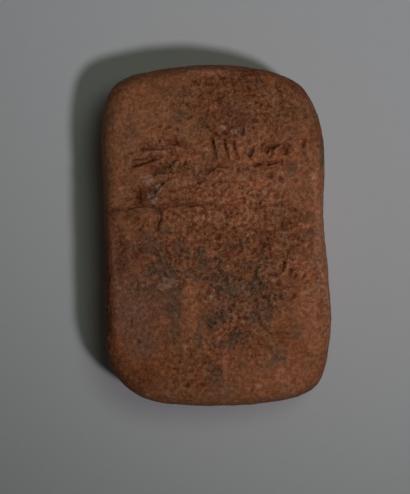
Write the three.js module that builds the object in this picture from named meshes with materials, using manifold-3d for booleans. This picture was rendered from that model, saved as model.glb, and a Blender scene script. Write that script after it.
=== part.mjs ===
// A small clay cuneiform tablet that lies on its back with the written face up.
// Millimetres. X runs to the right of the face, Y to its top edge and Z up.
// The origin is the middle of the plan, on the surface that the tablet rests on.

import * as THREE from "three";
import { mergeVertices } from "three/addons/utils/BufferGeometryUtils.js";
import Module from "manifold-3d";

const wasm = await Module();
wasm.setup();

// Driving dimensions of the lump of clay
const LENGTH = 45;
const WIDTH = 30.5;
const THICKNESS = 15;
const GIRTH_HEIGHT = 8; // where the sides stand out furthest
const BACK_EDGE = 3.2; // how far in from the outline the soft rounding of the back begins
const FACE_CROWN = 0.55; // how much lower the face is at its rim than in its middle
const CORNER_DROP = 1.4; // how much lower still it would be at the corner of a square plan
const BACK_BELLY = 2.3; // how much higher the back is at its rim than in its middle
const REST_LENGTH = 17; // the flat spot that the tablet rests on
const REST_WIDTH = 11;

// How far in from the outline the rounding of the face begins: at the middle of each side, clockwise from
// the top, and at each corner, clockwise from the top left
const FACE_EDGE_SIDES = [1.6, 1.8, 1.8, 1.8];
const FACE_EDGE_CORNERS = [3.4, 2.6, 2.6, 3];
const CORNER_REACH = 8; // how soon the width at a corner gives way to that of the side: more is sooner

// How full a rounding is: 2 for a quarter ellipse, and more for a straighter wall and a tighter edge
const FACE_FULLNESS = 3;
const BACK_FULLNESS = 2;

// The corners in plan, clockwise from the top left. Each is pushed in from the square corner by x and y,
// its curve begins and ends at the given runs along the two sides, and pull says how full it is.
const CORNERS = {
  topLeft: { x: 0, y: 0.6, runIn: 13, runOut: 6.5, pull: 0.8 },
  topRight: { x: 1.65, y: 1.6, runIn: 4.5, runOut: 15, pull: 0.7 },
  bottomRight: { x: -0.25, y: 1.1, runIn: 8.5, runOut: 6, pull: 0.7 },
  bottomLeft: { x: 0.75, y: 0, runIn: 8, runOut: 9.5, pull: 0.6 },
};

// How far each side stands out at a third and at two thirds of its run, clockwise
const TOP_BOW = [1.2, 1.9];
const RIGHT_BOW = [-0.7, 0.7];
const BOTTOM_BOW = [0.8, 0.7];
const LEFT_BOW = [-0.2, -0.3];

// The uneven face that thumbs left in the clay
const WAVE_DEPTH = 0.22;
const WAVE_ACROSS = 11; // from one crest to the next
const WAVE_ALONG = 14;
const WAVE_ACROSS_SLANT = 0.33; // how far its crests lean for each millimetre along them
const WAVE_ALONG_SLANT = -0.25;

// Where the writing sits: how far each line is below the top edge
const FIRST_LINE_DROP = 11.5;
const SECOND_LINE_DROP = 15.5;
const RULED_LINE_DROP = 18.6;

// The signs of the first line, as shares of the half width from the middle
const LEFT_SIGN_ACROSS = -0.5;
const UPRIGHTS_ACROSS = 0.06;
const RIGHT_SIGN_ACROSS = 0.53;

// The pressed strokes
const STROKE_WIDTH = 0.85;
const STROKE_DEPTH = 0.42;
const WORN_DEPTH = 0.3; // where the strokes are rubbed away
const UPRIGHT_COUNT = 3;
const UPRIGHT_PITCH = 1.55;
const UPRIGHT_LENGTH = 2.9;
const UPRIGHT_LEAN = 0.65; // how far the tail lies to the right of the head
const UPRIGHT_STEP_DOWN = 0.2; // each stroke starts this much lower than the last
const UPRIGHT_FADE = 0.12; // and is narrower by this share

// The ruled line below the writing, which has opened into a crack
const CRACK_WIDTH = 0.5;
const CRACK_DEPTH = 0.35;
const CRACK_STEPS = 8;
const CRACK_OVERLAP = 0.35; // how much of its length each step runs into the next
const BRANCH_LENGTH = 2.7;

// Pits where grit and salt have broken out of the face
const PIT_COUNT = 18;
const PIT_WIDTH = 0.75;
const PIT_LENGTH = 1.0;
const PIT_DEPTH = 0.28;
const PIT_SIZES = [0.7, 1.4]; // smallest and largest, as shares of the sizes above
const PIT_FIELD = { left: 2, right: 12.5, bottom: -9, top: 8.5 };

// The two plain worn rows on the back, and how far each is above the bottom edge
const BACK_ROWS_RISE = [10, 6.5];
const BACK_COLUMNS = 6;
const BACK_PITCH = 3.4;
const BACK_STROKE_LENGTH = 2.2;
const BACK_SLANTS = [0.2, 1.4, 0.9];

// Fineness of the faceted surface
const ACROSS_STEPS = 24;
const ALONG_STEPS = 36;
const EDGE_STEPS = 12;
const TINY = 1e-4; // less than the distance between any two points of it

const HALF_LENGTH = LENGTH / 2;
const HALF_WIDTH = WIDTH / 2;
const FIRST_LINE = HALF_LENGTH - FIRST_LINE_DROP;
const SECOND_LINE = HALF_LENGTH - SECOND_LINE_DROP;
const RULED_LINE = HALF_LENGTH - RULED_LINE_DROP;
const GOLDEN_RATIO = (1 + Math.sqrt(5)) / 2;
const PLASTIC_NUMBER = 1.324717957; // the real root of x cubed = x + 1

// Outline in plan

function squareCorner({ x, y }, signX, signY) {
  return new THREE.Vector2(signX * (HALF_WIDTH - x), signY * (HALF_LENGTH - y));
}

// One side as four points of a Bezier curve: the straight run between two corners, bowed outwards.
function sideBetween(from, runFrom, to, runTo, bow) {
  const along = to.clone().sub(from).normalize();
  const outwards = new THREE.Vector2(-along.y, along.x);
  const start = from.clone().addScaledVector(along, runFrom);
  const end = to.clone().addScaledVector(along, -runTo);
  const handles = bow.map((height, i) =>
    start.clone().lerp(end, (i + 1) / 3).addScaledVector(outwards, height));
  return [start, ...handles, end];
}

// The rounded corner between two sides, leaving each in the direction that the side has there.
function cornerBetween(before, after, corner) {
  const leave = before[3].clone().sub(before[2]).normalize();
  const arrive = after[0].clone().sub(after[1]).normalize();
  return [
    before[3],
    before[3].clone().addScaledVector(leave, corner.runIn * corner.pull),
    after[0].clone().addScaledVector(arrive, corner.runOut * corner.pull),
    after[0],
  ];
}

function makeOutline() {
  const { topLeft, topRight, bottomRight, bottomLeft } = CORNERS;
  const tl = squareCorner(topLeft, -1, 1);
  const tr = squareCorner(topRight, 1, 1);
  const br = squareCorner(bottomRight, 1, -1);
  const bl = squareCorner(bottomLeft, -1, -1);
  const top = sideBetween(tl, topLeft.runOut, tr, topRight.runIn, TOP_BOW);
  const right = sideBetween(tr, topRight.runOut, br, bottomRight.runIn, RIGHT_BOW);
  const bottom = sideBetween(br, bottomRight.runOut, bl, bottomLeft.runIn, BOTTOM_BOW);
  const left = sideBetween(bl, bottomLeft.runOut, tl, topLeft.runIn, LEFT_BOW);
  const path = new THREE.CurvePath();
  const curves = [
    cornerBetween(left, top, topLeft), top,
    cornerBetween(top, right, topRight), right,
    cornerBetween(right, bottom, bottomRight), bottom,
    cornerBetween(bottom, left, bottomLeft), left,
  ];
  for (const points of curves) path.add(new THREE.CubicBezierCurve(...points));
  return path;
}

const outline = makeOutline();

// Distance along the outline to the middle of each corner, and once more round to the first
function cornerMiddles() {
  const ends = [0, ...outline.getCurveLengths()];
  const middles = [0, 2, 4, 6].map((i) => (ends[i] + ends[i + 1]) / 2);
  return [...middles, middles[0] + ends[8]];
}

const MIDDLES = cornerMiddles();
const PERIMETER = outline.getLength();

// A point of the outline moved inwards by inset. side counts clockwise from the top, and share runs
// from 0 at the middle of one corner to 1 at the middle of the next.
function rimPoint(side, share, inset) {
  const distance = THREE.MathUtils.lerp(MIDDLES[side], MIDDLES[side + 1], share);
  const u = (distance / PERIMETER) % 1;
  const point = outline.getPointAt(u);
  const tangent = outline.getTangentAt(u);
  return point.add(new THREE.Vector2(tangent.y, -tangent.x).multiplyScalar(inset));
}

// Heights of the two broad surfaces

function roundness(x, y) {
  return (x / HALF_WIDTH) ** 2 + (y / HALF_LENGTH) ** 2;
}

// Highest in the middle, a little lower towards the rim, with long shallow waves.
function faceHeight(x, y) {
  const across = (1 - Math.sin((2 * Math.PI * (x + y * WAVE_ACROSS_SLANT)) / WAVE_ACROSS)) / 2;
  const along = (1 - Math.sin((2 * Math.PI * (y + x * WAVE_ALONG_SLANT)) / WAVE_ALONG)) / 2;
  const wave = (WAVE_DEPTH * (across + along)) / 2;
  const corner = CORNER_DROP * (x / HALF_WIDTH) ** 2 * (y / HALF_LENGTH) ** 2;
  return THICKNESS - FACE_CROWN * roundness(x, y) - corner - wave;
}

// A shallow bowl that is cut flat at the spot that the tablet rests on.
function backHeight(x, y) {
  const spot = (2 * x / REST_WIDTH) ** 2 + (2 * y / REST_LENGTH) ** 2;
  const shrink = 1 - 1 / Math.sqrt(Math.max(spot, 1));
  return BACK_BELLY * roundness(x * shrink, y * shrink);
}

// The lump of clay

// Which side of the box a ring point lies on and how far along it, clockwise seen from above.
function sideAndShare(a, b) {
  if (b >= Math.abs(a)) return [0, (1 + a / b) / 2];
  if (a >= Math.abs(b)) return [1, (1 - b / a) / 2];
  if (-b >= Math.abs(a)) return [2, (1 + a / b) / 2];
  return [3, (1 - b / a) / 2];
}

// How far in the rounding of the face begins: the width of a side, easing into those of its corners.
function faceEdge(side, share) {
  const turn = (share * Math.PI) / 2;
  const width = FACE_EDGE_SIDES[side];
  const before = FACE_EDGE_CORNERS[side] - width;
  const after = FACE_EDGE_CORNERS[(side + 1) % 4] - width;
  return width + before * Math.cos(turn) ** CORNER_REACH + after * Math.sin(turn) ** CORNER_REACH;
}

// A point of the face (up = 1) or of the back (up = -1), on a ring that is the rim drawn smaller.
function broadPoint(a, b, up) {
  const ring = Math.max(Math.abs(a), Math.abs(b));
  if (ring === 0) return [0, 0, up > 0 ? faceHeight(0, 0) : backHeight(0, 0)];
  const place = sideAndShare(a, b);
  const { x, y } = rimPoint(...place, up > 0 ? faceEdge(...place) : BACK_EDGE).multiplyScalar(ring);
  return [x, y, up > 0 ? faceHeight(x, y) : backHeight(x, y)];
}

// A point of the side: a rounding from the face down to the girth and another on to the back.
function sidePoint(a, b, c) {
  const place = sideAndShare(a, b);
  const edge = c > 0 ? faceEdge(...place) : BACK_EDGE;
  const power = 2 / (c > 0 ? FACE_FULLNESS : BACK_FULLNESS);
  const angle = (Math.abs(c) * Math.PI) / 2;
  const inner = rimPoint(...place, edge);
  const { x, y } = rimPoint(...place, edge * (1 - Math.abs(Math.cos(angle)) ** power));
  const limit = c > 0 ? faceHeight(inner.x, inner.y) : backHeight(inner.x, inner.y);
  return [x, y, THREE.MathUtils.lerp(GIRTH_HEIGHT, limit, Math.sin(angle) ** power)];
}

function makeLump() {
  const geometry = new THREE.BoxGeometry(2, 2, 2, ACROSS_STEPS, ALONG_STEPS, EDGE_STEPS);
  const position = geometry.attributes.position;
  for (let i = 0; i < position.count; i += 1) {
    const a = position.getX(i);
    const b = position.getY(i);
    const c = position.getZ(i);
    const point = 1 - Math.abs(c) < TINY ? broadPoint(a, b, Math.sign(c)) : sidePoint(a, b, c);
    position.setXYZ(i, ...point);
  }
  return geometry;
}

// Cutters for the marks in the clay

// Lays a cutter that runs along its own Y from one point of a surface to another, its own Z upwards.
function layAlong(geometry, [x1, y1], [x2, y2], surface) {
  const from = new THREE.Vector3(x1, y1, surface(x1, y1));
  const to = new THREE.Vector3(x2, y2, surface(x2, y2));
  const along = to.clone().sub(from).normalize();
  const across = new THREE.Vector3().crossVectors(along, new THREE.Vector3(0, 0, 1)).normalize();
  const up = new THREE.Vector3().crossVectors(across, along);
  const basis = new THREE.Matrix4().makeBasis(across, along, up);
  basis.setPosition(from.lerp(to, 0.5));
  return geometry.applyMatrix4(basis);
}

// A wedge pressed with a stylus: wide and deep at its head, running out to nothing at its tail.
function wedge(head, tail, surface, width = STROKE_WIDTH, depth = STROKE_DEPTH) {
  const run = Math.hypot(tail[0] - head[0], tail[1] - head[1]);
  const cone = new THREE.ConeGeometry(1, run, 4, 1);
  cone.scale(width / 2, 1, depth);
  return layAlong(cone, head, tail, surface);
}

// A mark that is deepest in its middle and runs out at both ends.
function gouge(from, to, surface, width, depth) {
  const run = Math.hypot(to[0] - from[0], to[1] - from[1]);
  const needle = new THREE.IcosahedronGeometry(1);
  needle.scale(width / 2, run / 2, depth);
  return layAlong(needle, from, to, surface);
}

// The marks of the face

// Strokes of one sign: each is a head and a tail, measured from the middle of the sign.
function sign([x, y], strokes, depth = STROKE_DEPTH) {
  const place = ([dx, dy]) => [x + dx, y + dy];
  return strokes.map(([head, tail]) =>
    wedge(place(head), place(tail), faceHeight, STROKE_WIDTH, depth));
}

// The upright strokes in the middle of the first line, the best kept of all.
function uprightStrokes() {
  const cutters = [];
  for (let i = 0; i < UPRIGHT_COUNT; i += 1) {
    const x = UPRIGHTS_ACROSS * HALF_WIDTH + (i - (UPRIGHT_COUNT - 1) / 2) * UPRIGHT_PITCH;
    const y = FIRST_LINE + UPRIGHT_LENGTH / 2 + UPRIGHT_STEP_DOWN * (1 - i);
    const width = STROKE_WIDTH * (1 - UPRIGHT_FADE * i);
    cutters.push(wedge([x, y], [x + UPRIGHT_LEAN, y - UPRIGHT_LENGTH], faceHeight, width));
  }
  return cutters;
}

// The fan of long flat strokes at the left of the first line.
function leftSign() {
  return sign([LEFT_SIGN_ACROSS * HALF_WIDTH, FIRST_LINE], [
    [[-3.5, -1.4], [0.5, -0.2]],
    [[-2.2, 0.8], [0, 0.7]],
    [[0.4, 0.7], [2.8, 0.5]],
    [[0.7, 1.5], [3.6, 1.1]],
    [[0.8, -0.1], [3.1, -0.4]],
    [[-1.2, -2.6], [0.2, -2]],
    [[1, -2.9], [-0.4, -1.7]],
  ]);
}

// The short slanting strokes at the right of the first line, and the long one below them.
function rightSign() {
  return sign([RIGHT_SIGN_ACROSS * HALF_WIDTH, FIRST_LINE], [
    [[-3.8, -0.4], [-2.6, 1]],
    [[-0.5, 1.2], [-1.5, -0.2]],
    [[1.6, 1.1], [0.4, -0.2]],
    [[3.4, 1.8], [3.5, -0.8]],
    [[0.5, -1.1], [-3, -1.5]],
    [[0, 3.6], [-0.4, 2.4]],
  ]);
}

// What is left of the second line: worn strokes in a loose row above the ruled line.
function secondLine() {
  return sign([0, SECOND_LINE], [
    [[-7.4, 0.1], [-8.6, -1.4]],
    [[-9.4, -1.4], [-8.3, -2.4]],
    [[-2.6, -0.2], [-1.3, 0.5]],
    [[-1.1, 1.4], [2.2, 2.2]],
    [[6.4, 1.6], [7.4, 1]],
  ], WORN_DEPTH);
}

// The ruled line runs in from the left side and fades before the middle, with one branch downwards.
function crack() {
  const waver = [[0.9, -0.4], [4, -0.3], [5.8, 0.3], [8, -0.1], [9.8, 0.4], [12.9, 0.2]];
  const onFace = ([fromLeft, above]) => new THREE.Vector2(fromLeft - HALF_WIDTH, RULED_LINE + above);
  const points = new THREE.SplineCurve(waver.map(onFace)).getSpacedPoints(CRACK_STEPS);
  const cutters = points.slice(1).map((to, i) => {
    const overlap = to.clone().sub(points[i]).multiplyScalar(CRACK_OVERLAP);
    const start = points[i].clone().sub(overlap);
    return gouge(start.toArray(), to.clone().add(overlap).toArray(), faceHeight, CRACK_WIDTH, CRACK_DEPTH);
  });
  const fork = points[CRACK_STEPS / 2].toArray();
  const branchEnd = [fork[0], fork[1] - BRANCH_LENGTH];
  return [...cutters, gouge(fork, branchEnd, faceHeight, CRACK_WIDTH, CRACK_DEPTH)];
}

// Pits spread evenly over the rough field by steps of the plastic number, which suit a plane as those of
// the golden ratio suit a line. Each is turned and sized in the same way.
function pits() {
  const { left, right, bottom, top } = PIT_FIELD;
  const cutters = [];
  for (let i = 1; i <= PIT_COUNT; i += 1) {
    const x = THREE.MathUtils.lerp(left, right, (i / PLASTIC_NUMBER) % 1);
    const y = THREE.MathUtils.lerp(bottom, top, (i / PLASTIC_NUMBER ** 2) % 1);
    const turn = 2 * Math.PI * ((i * GOLDEN_RATIO) % 1);
    const size = THREE.MathUtils.lerp(...PIT_SIZES, (i * GOLDEN_RATIO ** 2) % 1);
    const reach = new THREE.Vector2(Math.cos(turn), Math.sin(turn)).multiplyScalar(PIT_LENGTH * size / 2);
    const from = [x - reach.x, y - reach.y];
    const to = [x + reach.x, y + reach.y];
    cutters.push(gouge(from, to, faceHeight, PIT_WIDTH * size, PIT_DEPTH * size));
  }
  return cutters;
}

// The marks of the back: plain worn rows of strokes near its lower end, clear of the resting spot.
function backRows() {
  const cutters = [];
  BACK_ROWS_RISE.forEach((rise, row) => {
    for (let i = 0; i < BACK_COLUMNS; i += 1) {
      const x = (i - (BACK_COLUMNS - 1) / 2) * BACK_PITCH;
      const y = rise - HALF_LENGTH;
      const slant = BACK_SLANTS[(i + row) % BACK_SLANTS.length];
      const head = [x - slant / 2, y + BACK_STROKE_LENGTH / 2];
      const tail = [x + slant / 2, y - BACK_STROKE_LENGTH / 2];
      cutters.push(wedge(head, tail, backHeight, STROKE_WIDTH, WORN_DEPTH));
    }
  });
  return cutters;
}

// Joining the shape and the marks

function toSolid(geometry) {
  const bare = geometry.clone();
  bare.deleteAttribute("normal");
  bare.deleteAttribute("uv");
  const merged = mergeVertices(bare, TINY);
  return new wasm.Manifold(new wasm.Mesh({
    numProp: 3,
    vertProperties: new Float32Array(merged.attributes.position.array),
    triVerts: new Uint32Array(merged.index.array),
  }));
}

function toGeometry(solid) {
  const mesh = solid.getMesh();
  const geometry = new THREE.BufferGeometry();
  geometry.setAttribute("position", new THREE.BufferAttribute(mesh.vertProperties, 3));
  geometry.setIndex(new THREE.BufferAttribute(mesh.triVerts, 1));
  geometry.computeVertexNormals();
  return geometry;
}

function makeTablet() {
  const marks = [
    ...uprightStrokes(),
    ...leftSign(),
    ...rightSign(),
    ...secondLine(),
    ...crack(),
    ...pits(),
    ...backRows(),
  ];
  const carved = marks.reduce((solid, mark) => solid.subtract(toSolid(mark)), toSolid(makeLump()));
  const geometry = toGeometry(carved);
  geometry.computeBoundingBox();
  const middle = geometry.boundingBox.getCenter(new THREE.Vector3());
  geometry.translate(-middle.x, -middle.y, 0);
  return geometry;
}

const clay = new THREE.MeshStandardMaterial({ color: 0x9a6348, roughness: 0.9, metalness: 0 });
const tablet = new THREE.Mesh(makeTablet(), clay);
tablet.name = "clay_tablet";

const model = new THREE.Group();
model.add(tablet);

export default model;
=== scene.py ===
# %% [markdown]
# # A worn clay writing tablet
# The tablet is one small lump of clay, shaped by hand, written on while soft, baked and buried.
# It lies on its back on a pale table, seen from straight above. Nothing on it moves.
# The plan of this lesson: set up the view and the light, draw the outline of the lump, wrap a fine
# skin over it, press the marks into the skin, and mix the clay's colours in a material.

# %% Load the fixed frame
import itertools
import math

import bpy
import numpy as np
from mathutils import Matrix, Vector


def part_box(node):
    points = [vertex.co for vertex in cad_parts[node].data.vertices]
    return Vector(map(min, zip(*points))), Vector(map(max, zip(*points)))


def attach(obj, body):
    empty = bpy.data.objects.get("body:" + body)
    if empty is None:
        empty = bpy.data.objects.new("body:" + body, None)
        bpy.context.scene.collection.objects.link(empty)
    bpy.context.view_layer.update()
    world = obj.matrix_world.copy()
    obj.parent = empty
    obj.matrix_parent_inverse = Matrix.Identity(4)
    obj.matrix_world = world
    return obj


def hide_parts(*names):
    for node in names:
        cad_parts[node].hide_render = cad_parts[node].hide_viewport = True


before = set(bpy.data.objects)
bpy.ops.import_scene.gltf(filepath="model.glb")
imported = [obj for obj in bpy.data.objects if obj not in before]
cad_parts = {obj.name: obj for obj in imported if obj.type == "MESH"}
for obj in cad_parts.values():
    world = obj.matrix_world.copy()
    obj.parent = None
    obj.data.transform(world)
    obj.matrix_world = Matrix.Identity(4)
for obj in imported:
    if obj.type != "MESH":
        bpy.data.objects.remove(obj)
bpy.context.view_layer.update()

MM = 0.001  # every measure below is in millimetres, and Blender's unit is the metre
low, high = (np.array(corner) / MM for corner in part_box("clay_tablet"))
WIDTH, LENGTH, THICKNESS = high - low
print(f"the tablet is {WIDTH:.1f} wide, {LENGTH:.1f} long and {THICKNESS:.1f} thick")

# %% [markdown]
# ## The camera
# The photo looks straight down, a little to the lower left of the tablet's middle. A long lens far
# away keeps the sides from spreading, as they do in the photo. The picture is 410 by 494 pixels, and
# the tablet's 45 mm fill 339 of them, which sets how much of the table the lens takes in.

# %% Camera
PICTURE_PIXELS = (410, 494)
TABLET_PIXELS = 339
TABLET_MIDDLE_PIXEL = (216.0, 235.5)
GIRTH_HEIGHT = 8.0  # the outline is seen where the sides stand out furthest
LENS = 200.0
SENSOR = 36.0
mm_per_pixel = LENGTH / TABLET_PIXELS
view_x = (PICTURE_PIXELS[0] / 2 - TABLET_MIDDLE_PIXEL[0]) * mm_per_pixel
view_y = (TABLET_MIDDLE_PIXEL[1] - PICTURE_PIXELS[1] / 2) * mm_per_pixel
view_distance = PICTURE_PIXELS[1] * mm_per_pixel * LENS / SENSOR
camera_data = bpy.data.cameras.new("camera_above")
camera_data.lens = LENS
camera_data.sensor_width = SENSOR
camera = bpy.data.objects.new("camera_above", camera_data)
camera.location = (view_x * MM, view_y * MM, (view_distance + GIRTH_HEIGHT) * MM)
bpy.context.scene.collection.objects.link(camera)
bpy.context.scene.camera = camera
print(f"one pixel is {mm_per_pixel:.4f} mm, and the camera is {view_distance:.0f} mm above the girth")

# %% [markdown]
# ## The outline
# Seen from above the tablet is a hand-made rectangle: the top is arched, the right side has a slight
# waist and a belly below it, and each corner is rounded in its own way. One could trace it with many
# points, but four bowed sides joined by four corner curves need far fewer, and stay smooth however
# closely they are sampled. Each piece is a cubic Bezier curve.

# %% Outline
CORNERS = {  # pushed in from the square corner by x and y, runs along the two sides, and fullness
    "top_left": dict(x=0.0, y=0.6, run_in=13.0, run_out=6.5, pull=0.8),
    "top_right": dict(x=1.65, y=1.6, run_in=4.5, run_out=15.0, pull=0.7),
    "bottom_right": dict(x=-0.25, y=1.1, run_in=8.5, run_out=6.0, pull=0.7),
    "bottom_left": dict(x=0.75, y=0.0, run_in=8.0, run_out=9.5, pull=0.6),
}
CORNER_SIGNS = {"top_left": (-1, 1), "top_right": (1, 1), "bottom_right": (1, -1), "bottom_left": (-1, -1)}
SIDE_BOWS = [(1.2, 1.9), (-0.7, 0.7), (0.8, 0.7), (-0.2, -0.3)]  # top, right, bottom, left
PLAN_BOX = np.array([30.5, 45.0])  # the square that the corners are pushed in from
CURVE_SAMPLES = 400


def bezier(points, count=CURVE_SAMPLES):
    """Points along a cubic Bezier curve: each of the four points counts as much as the binomial of its
    number, t to that number and (1 - t) to the rest say."""
    t = np.linspace(0, 1, count, endpoint=False)[:, None]
    weights = [math.comb(3, k) * t**k * (1 - t) ** (3 - k) for k in range(4)]
    return sum(w * p for w, p in zip(weights, points))


def side_between(start_corner, end_corner, first, second, bow):
    """The straight run between two corners, with its two handles lifted outwards by the bow."""
    along = (second - first) / np.linalg.norm(second - first)
    outwards = np.array([-along[1], along[0]])
    start = first + along * start_corner["run_out"]
    end = second - along * end_corner["run_in"]
    handles = [start + (end - start) * (k + 1) / 3 + outwards * bow[k] for k in range(2)]
    return [start, *handles, end]


def corner_between(before, after, corner):
    """A curve that leaves one side and meets the next in the directions that those sides have there."""
    leave = (before[3] - before[2]) / np.linalg.norm(before[3] - before[2])
    arrive = (after[0] - after[1]) / np.linalg.norm(after[0] - after[1])
    reach_in, reach_out = (corner[run] * corner["pull"] for run in ("run_in", "run_out"))
    return [before[3], before[3] + leave * reach_in, after[0] + arrive * reach_out, after[0]]


def outline_curves():
    """The eight curves, clockwise from the top left corner: corner, side, corner, side and so on."""
    names = list(CORNERS)
    square = [
        np.array(CORNER_SIGNS[n]) * (PLAN_BOX / 2 - [CORNERS[n]["x"], CORNERS[n]["y"]]) for n in names
    ]
    sides = []
    for k in range(4):
        after = (k + 1) % 4
        pair = CORNERS[names[k]], CORNERS[names[after]]
        sides.append(side_between(*pair, square[k], square[after], SIDE_BOWS[k]))
    curves = []
    for k, name in enumerate(names):
        curves += [corner_between(sides[k - 1], sides[k], CORNERS[name]), sides[k]]
    return curves


outline = np.concatenate([bezier(c) for c in outline_curves()])
outline -= (outline.min(0) + outline.max(0)) / 2
steps = np.linalg.norm(np.roll(outline, -1, axis=0) - outline, axis=1)
travel = np.concatenate([[0.0], np.cumsum(steps)])
perimeter = travel[-1]
direction = np.roll(outline, -1, axis=0) - np.roll(outline, 1, axis=0)
direction /= np.linalg.norm(direction, axis=1)[:, None]
inwards = np.stack([direction[:, 1], -direction[:, 0]], axis=1)
corner_middles = travel[np.arange(4) * 2 * CURVE_SAMPLES + CURVE_SAMPLES // 2]
corner_middles = np.append(corner_middles, corner_middles[0] + perimeter)
outline_size = np.ptp(outline, axis=0)
print(f"the outline is {perimeter:.1f} mm round, {outline_size[0]:.2f} by {outline_size[1]:.2f}")

# %% [markdown]
# ## A closed skin of quads
# The lump needs a skin with even, small quads and no pole where triangles bunch up, because the marks
# are pressed into its points. A sphere or a swept profile has such a pole in the middle of the face.
# The surface of a box divided like a grid has none, so the skin starts as that box, and the next step
# moves each of its points to its place on the tablet. The writing is on the face, so the upper half of
# the box is divided twice as finely as the lower one, and a row of triangles joins them at the girth.

# %% Box grid
FACE_STEPS = (196, 292, 22)  # across, along, and up the side from the girth
BACK_STEPS = (98, 146, 10)
JOIN_DROP = 0.08


def half_skin(divisions):
    """Points and quads of a box without a floor, from -1 to 1 in plan and 0 to 1 in height, and the points
    round its open end, counterclockwise. Each lattice point on a wall gets a running number, and each
    wall is a grid of quads looked up by number and turned to face outwards."""
    number = np.full([d + 1 for d in divisions], -1)
    on_wall = np.zeros(number.shape, bool)
    on_wall[[0, -1]] = on_wall[:, [0, -1]] = on_wall[:, :, -1] = True
    number[on_wall] = np.arange(on_wall.sum())
    points = np.argwhere(on_wall) / (np.array(divisions) / [2, 2, 1]) - [1, 1, 0]
    walls = [
        (number[:, :, -1], False), (number[-1], False), (number[0], True), (number[:, -1], True),
        (number[:, 0], False),
    ]
    quads = []
    for wall, flipped in walls:
        quad = np.stack([wall[:-1, :-1], wall[1:, :-1], wall[1:, 1:], wall[:-1, 1:]], -1).reshape(-1, 4)
        quads.append(quad[:, ::-1] if flipped else quad)
    end = number[:, :, 0]
    ring = np.concatenate([end[:-1, 0], end[-1, :-1], end[:0:-1, -1], end[0, :0:-1]])
    return points, np.concatenate(quads), ring


def box_skin():
    """Two half skins, the lower one upside down, and three triangles for each edge of its open end, which
    has half as many points as the end of the upper one."""
    points, quads, ring = half_skin(FACE_STEPS)
    back_points, back_quads, back_ring = half_skin(BACK_STEPS)
    back_points[:, 2] = -JOIN_DROP - (1 - JOIN_DROP) * back_points[:, 2]
    back_quads, back_ring = back_quads[:, ::-1] + len(points), back_ring + len(points)
    back_next = np.roll(back_ring, -1)
    first, middle, last = ring[::2], ring[1::2], np.roll(ring, -2)[::2]
    join = [(back_ring, back_next, middle), (back_ring, middle, first), (back_next, last, middle)]
    triangles = np.concatenate([np.stack(corners, -1) for corners in join])
    return np.concatenate([points, back_points]), np.concatenate([quads, back_quads]), triangles


box_points, quads, triangles = box_skin()
print(f"the skin has {len(box_points)} points and {2 * len(quads) + len(triangles)} triangles")

# %% [markdown]
# ## The lump of clay
# The face is almost flat with long shallow waves from the thumbs that smoothed it. The back bulges, and
# has a small flat spot where the tablet rests. Between the two, the side goes up from the girth, almost
# straight, and turns over into the face in a tight edge that widens at the corners. Down to the back it
# is a quarter of an ellipse, softer. A subdivided cube would give edges that are rounded alike
# everywhere, so the two edges are worked out separately instead.

# %% Heights of face and back
FACE_EDGE_SIDES = np.array([1.6, 1.8, 1.8, 1.8])  # width of the edge: top, right, bottom, left
FACE_EDGE_CORNERS = np.array([3.4, 2.6, 2.6, 3.0])  # and at the corners, clockwise from the top left
CORNER_REACH = 8
FACE_FULLNESS = 3.0  # 2 is an ellipse, and more is squarer
BACK_FULLNESS = 2.0
BACK_EDGE = 3.2
FACE_CROWN = 0.55
CORNER_DROP = 1.4
BACK_BELLY = 2.3
REST_LENGTH = 17.0
REST_WIDTH = 11.0
WAVE_DEPTH = 0.22
WAVE_ACROSS = 11.0
WAVE_ALONG = 14.0
WAVE_ACROSS_SLANT = 0.33
WAVE_ALONG_SLANT = -0.25
FULL_THICKNESS = 15.0


def roundness(x, y):
    """0 in the middle of the plan and 1 at the middle of each side: the squares of the two shares."""
    return (2 * x / PLAN_BOX[0]) ** 2 + (2 * y / PLAN_BOX[1]) ** 2


def face_height(x, y):
    """Full thickness in the middle, less the crown times the roundness, less the drop of the corners times
    the squares of the two shares, less two slanting sine waves."""
    across = (1 - np.sin(2 * np.pi * (x + y * WAVE_ACROSS_SLANT) / WAVE_ACROSS)) / 2
    along = (1 - np.sin(2 * np.pi * (y + x * WAVE_ALONG_SLANT) / WAVE_ALONG)) / 2
    corner = CORNER_DROP * (2 * x / PLAN_BOX[0]) ** 2 * (2 * y / PLAN_BOX[1]) ** 2
    return FULL_THICKNESS - FACE_CROWN * roundness(x, y) - corner - WAVE_DEPTH * (across + along) / 2


def back_height(x, y):
    """Nothing on the resting spot, and outside it the belly times the roundness counted from its rim."""
    spot = (2 * x / REST_WIDTH) ** 2 + (2 * y / REST_LENGTH) ** 2
    shrink = 1 - 1 / np.sqrt(np.maximum(spot, 1))
    return BACK_BELLY * roundness(x * shrink, y * shrink)


def rim_point(turn, inset):
    """A point of the outline moved inwards. Turn runs from 0 to 4 between the middles of the corners."""
    distance = np.interp(turn, np.arange(5), corner_middles) % perimeter
    closed = np.concatenate([outline, outline[:1]])
    closed_inwards = np.concatenate([inwards, inwards[:1]])
    place = np.stack([np.interp(distance, travel, closed[:, k]) for k in range(2)], -1)
    push = np.stack([np.interp(distance, travel, closed_inwards[:, k]) for k in range(2)], -1)
    return place + push * inset[:, None]


def clockwise_turn(a, b):
    """Which side of the square a ring point lies on, and how far along it, as one number from 0 to 4."""
    ring = np.maximum(np.abs(a), np.abs(b))
    ring = np.where(ring == 0, 1, ring)
    a, b = a / ring, b / ring
    choices = [b >= np.abs(a), a >= np.abs(b), -b >= np.abs(a)]
    return np.select(choices, [(1 + a) / 2, 1 + (1 - b) / 2, 2 + (1 - a) / 2], 3 + (1 + b) / 2)


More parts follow.
